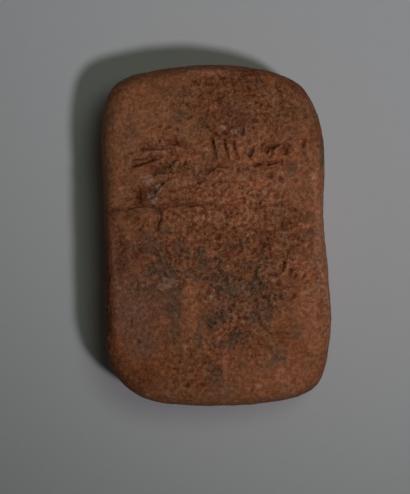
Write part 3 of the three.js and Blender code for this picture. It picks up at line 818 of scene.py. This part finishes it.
# dark red earth in patches, and painted shade: a strip along the left side and a band along the top edge
DARK_EARTH_AND_EDGE_SHADE = [
    (-14.9, -10, 1.3, 10, 1.5), (10.5, 19.3, 2.6, 1.2, 0.9), (3.2, 17, 2, 1.6, 0.7),
    (8.4, -12.9, 1, 1.4, 0.8), (7, -14.6, 0.6, 0.4, 0.8), (0.8, 15.2, 2.8, 2, 0.8),
    (-1, 17.9, 1.6, 0.9, 0.8), (3.4, 14.9, 1.8, 0.8, 0.9), (-10.6, -18.8, 3.4, 1.8, 1),
    (-8.6, 4.7, 1.2, 0.5, 1), (-9.4, 5.6, 1.2, 0.9, 1.4), (-9.9, 4.7, 0.7, 0.6, 1.5),
    (1.5, 13.2, 1.8, 0.5, 1.2), (-9, 4.2, 1.4, 0.4, 0.6), (9.4, 11.2, 0.9, 0.7, 1),
    (7.4, 11.6, 0.7, 0.4, 0.8), (-6.9, 8.9, 1.4, 0.7, 1), (-5, 12, 0.7, 0.3, 0.9),
    (13, 13.5, 0.8, 2.6, 0.7), (-12.5, 2.3, 2.2, 1.2, 0.35), (3, 19.8, 6.8, 1.6, 0.8),
    (2.6, 21.1, 3.2, 0.8, 1.5), (5.8, -0.8, 1.4, 1.8, 0.7), (0.5, 19.3, 9, 3, 0.35),
    (-13.4, -14.5, 0.5, 1.6, 0.8), (-12.3, -2.2, 0.9, 3.4, 1.2), (2.5, -2, 1.2, 1.5, 0.4),
    (6.9, -7.6, 1.2, 0.9, 0.4), (-1, 7, 1.3, 0.5, 0.5), (9.8, -1.6, 0.7, 1.4, 0.4), (8.8, 16, 5, 4, 0.45),
    (-12.8, -18, 2, 2.5, 0.8),
]
PINK_DUST = [
    (-12.8, -2.5, 0.9, 3.8, 0.9), (3, 15.8, 2.5, 1.5, 0.5), (2.5, 13.6, 1.5, 0.7, 0.6),
    (-9.6, -10, 3.6, 5.5, 0.9), (-8, -4, 4, 3, 0.4), (2.5, -9.5, 4, 3.5, 0.5),
    (0.7, -20.2, 1.8, 1.2, 0.8), (-12, -3, 1.1, 3, 0.7), (0.3, -11.8, 1, 0.6, 0.8),
]
OCHRE_SPOTS = [
    (-5.3, -3.3, 1.5, 0.8, 1), (-10.4, -1.2, 0.7, 1.4, 0.7), (-10.1, 2.1, 1.5, 0.5, 0.8),
    (2.2, 0.2, 1.1, 0.9, 1), (-5, -8.6, 0.6, 0.5, 0.9), (3.6, -4.3, 0.8, 0.5, 0.9),
    (6.2, -13, 1.4, 1, 0.8), (-6.3, -17.6, 1.3, 1, 0.8), (-10.6, 10.1, 1.4, 0.3, 0.9),
    (0.3, 9, 0.9, 0.3, 0.8), (-8.3, -17.9, 1, 0.6, 0.7), (5, -20.9, 2, 0.4, 0.7),
    (0.2, 6.5, 0.8, 1.4, 0.5), (-1, 0.5, 1, 1, 0.5), (-6, 3.1, 2, 0.6, 0.5),
]
print(f"{len(SOIL_STAINS + DARK_EARTH_AND_EDGE_SHADE + PINK_DUST + OCHRE_SPOTS)} patches of stain, earth and dust")

# %% Places of cleaner clay, and painted highlights on the rim
FRESH_PLACES = [
    (-0.8, -2.3, 0.45, 0.5, 1), (-3.4, -7.5, 0.5, 0.6, 1), (-3.3, -0.9, 0.5, 0.4, 0.8),
    (11.7, 1.3, 0.7, 0.35, 1), (1.5, -4.3, 0.5, 0.4, 0.8), (12.3, -9, 1.6, 5, 0.9),
    (11, -4.6, 2, 1.6, 0.7), (0.4, -13, 0.6, 0.5, 0.7), (12.8, -14, 1.2, 1.5, 0.7),
    (8.3, -18.2, 0.5, 0.9, 0.9), (10.6, -18.6, 1.2, 0.9, 0.6), (-3.1, -10, 0.8, 3.6, 0.7),
    (-1.4, -14.4, 0.4, 0.7, 0.9), (-6.8, -11.1, 0.5, 0.6, 0.6), (4.9, 12.1, 0.9, 0.7, 0.8),
    (3.6, 9.4, 0.9, 0.8, 0.7), (9, 6.9, 1.6, 0.9, 0.6), (-8.7, 13.2, 1.6, 1, 0.5),
    (-8.6, 10.9, 1.8, 0.4, 0.7), (13.3, 4, 0.8, 5, 0.8), (13.9, -1, 0.5, 4, 0.7),
    (5.8, -15.1, 0.7, 0.3, 0.8), (-12.6, 5, 1.2, 1.5, 0.4), (-8.5, 2.6, 0.7, 0.4, 0.6),
    (8, -17.8, 5.5, 3.2, 0.5), (10.9, 5.5, 1.4, 4, 0.5), (4.5, -8, 5.5, 6, 0.45), (-5.5, -4, 4, 4, 0.3),
    (3, 6, 6, 2.2, 1), (-4, 7.2, 1.6, 0.7, 0.6), (-5, 2, 2.4, 1.4, 0.4), (2, 2.6, 5, 1.6, 0.7),
    (6.5, 11.4, 8, 2.6, 0.6), (-7.5, 10.5, 5, 2.5, 0.45), (-9, 16.5, 4, 3, 0.3), (6, -1, 4, 4, 0.3),
]
# salmon spots, and a painted highlight along the top lip and the right rim
SALMON_SPOTS_AND_RIM_HIGHLIGHTS = [
    (-0.8, -2.4, 0.45, 0.55, 1), (-3.4, -7.4, 0.6, 0.6, 1), (11.5, 1.3, 0.8, 0.35, 1),
    (2.6, -10.4, 0.9, 0.35, 0.8), (-3.3, -0.5, 0.45, 0.6, 0.8), (12.4, -1.2, 1, 1.5, 0.5),
    (10.4, -3.4, 1, 0.8, 0.6), (1.5, -4.3, 0.4, 0.4, 0.8), (9, 7.2, 0.8, 0.9, 0.6),
    (5.2, 12.6, 0.6, 0.6, 0.7), (13.2, 10.8, 0.35, 1.8, 0.6), (2.7, 8.9, 0.4, 0.9, 0.6),
    (8.3, -18.2, 0.45, 0.8, 0.8), (-0.3, 21.4, 2.6, 0.25, 0.9), (-6.5, 11, 0.5, 0.3, 0.7),
    (-4.3, 9.9, 0.7, 0.5, 0.7), (0.5, -13, 0.5, 0.6, 0.6), (1.2, -16.5, 0.35, 3, 0.7),
    (4.5, 9.8, 0.8, 0.4, 0.6),
]
DUSTY_PLACES = [
    (-10.5, -8, 3, 7, 0.9), (-9.5, 13, 4, 5, 0.9), (-1.5, 5.5, 5, 1.6, 1), (5.5, 8.9, 2.2, 0.7, 1),
    (-12.6, -2, 0.7, 9, 1), (4, 10.8, 9, 3, 0.7), (2, 2.5, 4.5, 1.5, 0.8),
]
TAN_PLACES = [(-7.5, 13.5, 10.0, 8.0, 1.0), (8.5, 16.0, 5.0, 4.0, 0.9)]
# painted highlights: a pale strip down the right side and a thin line on the top lip
RIM_HIGHLIGHTS = [(14.4, -0.5, 1.6, 9.0, 1.0), (-0.6, 21.2, 2.6, 0.35, 1.0), (15.0, -10.0, 1.2, 6.0, 0.9)]
clean_and_highlight_patches = FRESH_PLACES + SALMON_SPOTS_AND_RIM_HIGHLIGHTS + DUSTY_PLACES + TAN_PLACES + RIM_HIGHLIGHTS
print(f"{len(clean_and_highlight_patches)} patches of cleaner clay")

# %% Colour masks
STAIN_SOFTNESS = 0.45
HOLLOW_DEPTH = 0.12  # of the grain, where its hollows have their full colour
CUT_DEPTH = 0.36
RAISED_HEIGHT = 0.14
STAIN_FADE = 4.0  # how far below the girth the stains end
soil = rough(lump, 3.2, 4, 40)
above_girth = smooth(lump[:, 2], GIRTH_HEIGHT - STAIN_FADE, GIRTH_HEIGHT)
hollow_from_grain = smooth(-(grain + 0.3 * broad) / HOLLOW_DEPTH, 0, 1)
hollow_from_cuts = smooth((cut + large_pits + small_pits) / CUT_DEPTH, 0.05, 1)
raised_grain = smooth((grain + proud_grains) / RAISED_HEIGHT, 0.1, 1)
# raised grain and the squeezed-up ridges turn paler: partly dust, partly painted highlight
rubbed_and_highlight = np.clip(raised_grain * (0.5 + spread(DUSTY_PLACES)) + 3 * pushed_up, 0, 1)


def strewn(places, share, noise_field, start, end, **settings):
    """Patches, and a share of scattered ones where a noise goes from start to end, up to 1."""
    return np.clip(spread(places, **settings) + share * smooth(noise_field, start, end), 0, 1)


masks = {
    "tan": spread(TAN_PLACES, where=above_girth),
    "pink_dust": spread(PINK_DUST),
    "fresh_clay": strewn(FRESH_PLACES, 0.4, rough(lump, 1.5, 3, 48), 0.15, 0.45),
    "ochre": strewn(OCHRE_SPOTS, 0.6, rough(lump, 1.4, 3, 44), 0.25, 0.5),
    "soil_stain": strewn(SOIL_STAINS, 0.5, soil, 0.15, 0.4, softness=STAIN_SOFTNESS, where=above_girth),
    "salmon": spread(SALMON_SPOTS_AND_RIM_HIGHLIGHTS, where=above_girth),
    # dark earth, and painted shade along the left side and the top edge
    "dark_earth_and_edge_shade": spread(DARK_EARTH_AND_EDGE_SHADE, where=above_girth),
    # darker red in the hollows of the grain: partly earth, partly painted shade
    "hollow_earth_and_shade": 0.6 * hollow_from_grain * (1 - hollow_from_cuts),
    # darker red inside strokes, cracks, rings and pits: partly earth that fills them, partly painted shade
    "pressed": hollow_from_cuts,
    "rubbed_and_highlight": rubbed_and_highlight * (1 - hollow_from_cuts),
    # painted highlight on the right side and the top lip
    "rim_highlight": np.clip(spread(RIM_HIGHLIGHTS, where=above_girth) * (0.85 + 0.4 * soil), 0, 1),
    "salt": salt,
    "weathered": smooth(roughness_mask, 0.2, 0.9),
}
print({name: round(float(mask.mean()), 3) for name, mask in masks.items()})

# %% [markdown]
# ## The mesh
# The points, the faces and the masks go into one mesh in whole arrays. It could be built face by face,
# but whole arrays are much faster. The skin stands for the plain solid of the same form.

# %% Mesh of the tablet


def make_mesh(name, points, faces, point_masks):
    """A mesh object at the origin from points in millimetres, a list of faces and masks by name."""
    mesh = bpy.data.meshes.new(name)
    mesh.from_pydata((points * MM).tolist(), [], faces)
    for mask_name, values in point_masks.items():
        layer = mesh.attributes.new(mask_name, "FLOAT", "POINT")
        layer.data.foreach_set("value", values.astype(np.float32))
    mesh.polygons.foreach_set("use_smooth", np.ones(len(faces), bool))
    mesh.update()
    made = bpy.data.objects.new(name, mesh)
    bpy.context.scene.collection.objects.link(made)
    return made


tablet = make_mesh("worn_tablet", skin, quads.tolist() + triangles.tolist(), masks)
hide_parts("clay_tablet")
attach(tablet, "root")
print(f"{tablet.name} has {len(tablet.data.polygons)} faces and {len(tablet.data.attributes)} attributes")

# %% [markdown]
# ## The clay material
# A material in Blender is a graph of nodes. The masks of the skin choose between the clay's colours, and
# fine noises add what is smaller than the skin's points: a mottle, dark and pale specks, and a bump.
# Dark grains are redder and light ones paler, as damp and dusty clay are, so the mottle is a mix between
# two colours and not only a change of brightness.

# %% Node helpers


def add(tree, kind, inputs=None, **settings):
    """Adds a node, makes its settings, and links or fills each named or numbered input."""
    node = tree.nodes.new(kind)
    for name, value in settings.items():
        setattr(node, name, value)
    for name, value in (inputs or {}).items():
        if isinstance(value, bpy.types.NodeSocket):
            tree.links.new(value, node.inputs[name])
        else:
            node.inputs[name].default_value = value
    return node


def mix_colours(tree, share, first, second, blend="MIX"):
    """A colour between two, by a share that is a number or a socket."""
    first, second = (c if isinstance(c, bpy.types.NodeSocket) else (*c, 1) for c in (first, second))
    inputs = {0: share, 6: first, 7: second}
    return add(tree, "ShaderNodeMix", inputs, data_type="RGBA", blend_type=blend).outputs[2]


def remap(tree, value, before, after=(0.0, 1.0)):
    """Spreads a range of a value over another range, with soft ends."""
    names = ("From Min", "From Max", "To Min", "To Max")
    inputs = {"Value": value, **dict(zip(names, (*before, *after)))}
    return add(tree, "ShaderNodeMapRange", inputs, interpolation_type="SMOOTHSTEP").outputs[0]


def noise(tree, place, size, span, shares=(0.0, 1.0), detail=3.0, roughness=0.6, distortion=0.0):
    """Noise on the object's own coordinates with features of a size in millimetres. Its values over a span
    become a range of shares."""
    inputs = {"Vector": place, "Scale": 1 / (size * MM), "Detail": detail, "Roughness": roughness}
    value = add(tree, "ShaderNodeTexNoise", {**inputs, "Distortion": distortion}).outputs["Fac"]
    return remap(tree, value, span, shares)


def maths(tree, operation, first, second, **settings):
    """One sum of two values."""
    return add(tree, "ShaderNodeMath", {0: first, 1: second}, operation=operation, **settings).outputs[0]


def mask(tree, name):
    """A mask of the skin by its name."""
    return add(tree, "ShaderNodeAttribute", attribute_name=name).outputs["Fac"]


def matt_material(name, roughness, shine):
    """A material without metal or gloss, its tree and shader, and the coordinates that it reads."""
    material = bpy.data.materials.new(name)
    material.use_nodes = True
    tree = material.node_tree
    shader = tree.nodes["Principled BSDF"]
    shader.inputs["Roughness"].default_value = roughness
    shader.inputs["Specular IOR Level"].default_value = shine
    return material, tree, shader, add(tree, "ShaderNodeTexCoord").outputs["Object"]


print("the skin carries the masks", ", ".join(masks))

# %% Colours of the clay
RED_CLAY = (0.510, 0.172, 0.073)
BROWN_CLAY = (0.490, 0.192, 0.086)
TAN_CLAY = (0.500, 0.209, 0.096)
FRESH_CLAY = (0.790, 0.294, 0.142)
SALMON_CLAY = (0.860, 0.330, 0.195)
PINK_DUST_COLOUR = (0.400, 0.188, 0.118)
SOIL = (0.268, 0.147, 0.085)
# dark red, for earth and for painted shade in hollows and along the left and top edges
DAMP_EARTH_AND_SHADE = (0.240, 0.068, 0.023)
# dark red inside the cuts: earth, and painted shade
CUT_EARTH_AND_SHADE = (0.240, 0.080, 0.030)
OCHRE = (0.520, 0.188, 0.066)
# pale dust, and a painted highlight on raised grain and ridges
DUST_AND_HIGHLIGHT = (0.620, 0.290, 0.160)
# the colour of the painted highlight on the right side and the top lip
RIM_HIGHLIGHT_COLOUR = (0.760, 0.330, 0.185)
PALE_SALT = (0.760, 0.440, 0.320)
ORANGE_TINT = (1.09, 0.985, 0.87)
GREY_TINT = (0.93, 1.015, 1.10)
MOTTLE_DARK = (0.432, 0.239, 0.119)
MOTTLE_LIGHT = (1.165, 1.345, 1.44)
SPECK_DARK = (0.50, 0.29, 0.19)
SPECK_LIGHT = (0.52, 0.27, 0.18)
LAYERS = [  # mask, colour, how strongly it covers, and how much its edges are broken up
    ("tan", TAN_CLAY, 0.8, 0.5), ("fresh_clay", FRESH_CLAY, 0.7, 0.1),
    ("pink_dust", PINK_DUST_COLOUR, 0.7, 0.5), ("ochre", OCHRE, 0.75, 0.7),
    ("soil_stain", SOIL, 0.95, 0.7), ("salmon", SALMON_CLAY, 0.7, 0.4),
    ("dark_earth_and_edge_shade", DAMP_EARTH_AND_SHADE, 0.6, 0.9), ("rubbed_and_highlight", DUST_AND_HIGHLIGHT, 0.3, 0.3),
    ("rim_highlight", RIM_HIGHLIGHT_COLOUR, 0.8, 1.0), ("hollow_earth_and_shade", DAMP_EARTH_AND_SHADE, 0.45, 1.0),
    ("pressed", CUT_EARTH_AND_SHADE, 0.55, 0.2), ("salt", PALE_SALT, 0.9, 0.3),
]
print(f"{len(LAYERS)} layers of colour lie on the body of the clay")

# %% Layers of colour
BODY = dict(size=5.0, span=(0.38, 0.62))
RAGGED = dict(size=0.6, span=(0.38, 0.6), shares=(0.35, 1.3), detail=4.0, roughness=0.75)


def layered(tree, place):
    """The red and brown body, and each layer on it by its mask, which a fine noise breaks up: the share is
    mask times strength times (noise times raggedness plus 1 minus raggedness)."""
    colour = mix_colours(tree, noise(tree, place, **BODY), BROWN_CLAY, RED_CLAY)
    ragged = noise(tree, place, **RAGGED)
    for name, layer_colour, strength, raggedness in LAYERS:
        broken = maths(tree, "ADD", maths(tree, "MULTIPLY", ragged, raggedness), 1 - raggedness)
        covered = maths(tree, "MULTIPLY", mask(tree, name), strength)
        share = maths(tree, "MULTIPLY", covered, broken, use_clamp=True)
        colour = mix_colours(tree, share, colour, layer_colour)
    return colour


# %% Tints and mottle
TINTS = [(1.2, 0.32), (3.0, 0.2)]  # size in millimetres, and how far the noise goes either way
MOTTLE = dict(size=0.55, span=(0.30, 0.70), detail=4.0, roughness=0.75)
TINT_SHARES = (0.65, 1.0)  # of the tints and the mottle, on the smoothest and on the roughest clay


def tinted(tree, place, colour, mottle, weathered):
    """The colour times a tint from grey to orange for each size, and times the mottle."""
    share = remap(tree, weathered, (0.0, 1.0), TINT_SHARES)
    for size, reach in TINTS:
        tint = noise(tree, place, size, (0.5 - reach, 0.5 + reach), roughness=0.7)
        tint = mix_colours(tree, tint, GREY_TINT, ORANGE_TINT)
        colour = mix_colours(tree, share, colour, tint, "MULTIPLY")
    shade = mix_colours(tree, mottle, MOTTLE_DARK, MOTTLE_LIGHT)
    return mix_colours(tree, share, colour, shade, "MULTIPLY")


# %% Specks and the whole clay
DARK_SPECKS = dict(size=0.5, span=(0.53, 0.62), roughness=0.7, distortion=0.4)
DARK_SPECK_SHARES = (0.3, 0.7)
PALE_SPECKS = dict(size=0.33, span=(0.60, 0.72), detail=2.0, roughness=0.5)
PALE_SPECK_SHARE = 0.4
BUMP_STRENGTH = 0.8
BUMP_HEIGHT = 0.13
CLAY_ROUGHNESS = 0.9
CLAY_SHINE = 0.25


def clay_material():
    """Worn, matt, baked clay whose colours follow the masks of the skin."""
    material, tree, shader, place = matt_material("worn_clay", CLAY_ROUGHNESS, CLAY_SHINE)
    weathered = mask(tree, "weathered")
    mottle = noise(tree, place, **MOTTLE)
    colour = tinted(tree, place, layered(tree, place), mottle, weathered)
    dark_share = remap(tree, weathered, (0.0, 1.0), DARK_SPECK_SHARES)
    dark = maths(tree, "MULTIPLY", noise(tree, place, **DARK_SPECKS), dark_share)
    darker = mix_colours(tree, 1.0, colour, SPECK_DARK, "MULTIPLY")
    pale = maths(tree, "MULTIPLY", noise(tree, place, **PALE_SPECKS), PALE_SPECK_SHARE)
    colour = mix_colours(tree, dark, colour, darker)
    colour = mix_colours(tree, pale, colour, SPECK_LIGHT)
    tree.links.new(colour, shader.inputs["Base Color"])
    height = maths(tree, "SUBTRACT", mottle, dark)
    bump = {"Height": height, "Strength": BUMP_STRENGTH, "Distance": BUMP_HEIGHT * MM}
    tree.links.new(add(tree, "ShaderNodeBump", bump).outputs["Normal"], shader.inputs["Normal"])
    return material


tablet.data.materials.append(clay_material())
print(f"the clay is mixed by {len(tablet.active_material.node_tree.nodes)} nodes")

# %% [markdown]
# ## The table
# A plain, pale, matt surface under the tablet, large enough to fill every view. It could be a curved
# backdrop, but seen from above a flat one looks the same.

# %% Table
TABLE_HALF_SIZE = 600.0
TABLE_COLOUR = (0.70, 0.705, 0.70)
TOOTH = dict(size=1.5, span=(0.3, 0.7))
TOOTH_SHADE = 0.985
TABLE_ROUGHNESS = 0.95
TABLE_SHINE = 0.1


def table_material():
    """Matt pale grey with a hardly visible tooth."""
    material, tree, shader, place = matt_material("pale_table", TABLE_ROUGHNESS, TABLE_SHINE)
    darker = tuple(TOOTH_SHADE * c for c in TABLE_COLOUR)
    colour = mix_colours(tree, noise(tree, place, **TOOTH), darker, TABLE_COLOUR)
    tree.links.new(colour, shader.inputs["Base Color"])
    return material


table_corners = np.array([(-1, -1, 0), (1, -1, 0), (1, 1, 0), (-1, 1, 0)]) * TABLE_HALF_SIZE
table = make_mesh("pale_table", table_corners, [[0, 1, 2, 3]], {})
table.data.materials.append(table_material())
print(f"the table is {2 * TABLE_HALF_SIZE:.0f} mm wide")

# %% [markdown]
# ## The light
# The shadow lies to the upper left, so the main lamp stands to the lower right, about 66 degrees high.
# The table is brightest to the upper right and darkest to the lower left. Two lamps could give that, but
# one is enough: it is aimed past the tablet, and its cone fades towards the lower left. A weak wide light
# from the top fills the shadow.

# %% Lights
LAMP_DIRECTION = (0.84, -0.55)
LAMP_ELEVATION = 65.9
LAMP_DISTANCE = 700.0
LAMP_RADIUS = 38.0
LAMP_COLOUR = (1.03, 1.0, 1.10)
LAMP_WATTS = 5.25
LAMP_AIM = (34.0, 45.0, 0.0)
LAMP_CONE = 21.9
FILL_PLACE = (127.0, 97.0, 600.0)
FILL_COLOUR = (0.89, 1.0, 0.87)
FILL_SIZE = 212.0
FILL_WATTS = 0.34
FILL_AIM = (0.0, 0.0, 0.0)
STUDIO_COLOUR = (0.90, 1.0, 0.90, 1.0)
STUDIO_STRENGTH = 0.019


def vector(values):
    """A Blender vector, in metres, from values in millimetres."""
    return type(camera.location)(np.array(values) * MM)


def add_lamp(name, kind, place, target, watts, **settings):
    """A lamp of a kind at a place, aimed at a target, both in millimetres."""
    data = bpy.data.lights.new(name, kind)
    data.energy = watts
    for setting, value in settings.items():
        setattr(data, setting, value)
    lamp = bpy.data.objects.new(name, data)
    lamp.location = vector(place)
    lamp.rotation_mode = "QUATERNION"
    lamp.rotation_quaternion = (vector(target) - vector(place)).to_track_quat("-Z", "Y")
    bpy.context.scene.collection.objects.link(lamp)


level = math.cos(math.radians(LAMP_ELEVATION)) * LAMP_DISTANCE
rise = math.sin(math.radians(LAMP_ELEVATION)) * LAMP_DISTANCE
lamp_place = (LAMP_DIRECTION[0] * level, LAMP_DIRECTION[1] * level, rise)
add_lamp(
    "main_lamp", "SPOT", lamp_place, LAMP_AIM, LAMP_WATTS,
    color=LAMP_COLOUR, shadow_soft_size=LAMP_RADIUS * MM, spot_size=math.radians(LAMP_CONE), spot_blend=1.0,
)
add_lamp(
    "top_fill", "AREA", FILL_PLACE, FILL_AIM, FILL_WATTS,
    color=FILL_COLOUR, shape="DISK", size=FILL_SIZE * MM,
)
world = bpy.data.worlds.new("studio")
world.use_nodes = True
world.node_tree.nodes["Background"].inputs["Color"].default_value = STUDIO_COLOUR
world.node_tree.nodes["Background"].inputs["Strength"].default_value = STUDIO_STRENGTH
bpy.context.scene.world = world
bpy.context.scene.view_settings.view_transform = "Standard"
print(f"the main lamp stands {rise:.0f} mm high and {level:.0f} mm to the side")
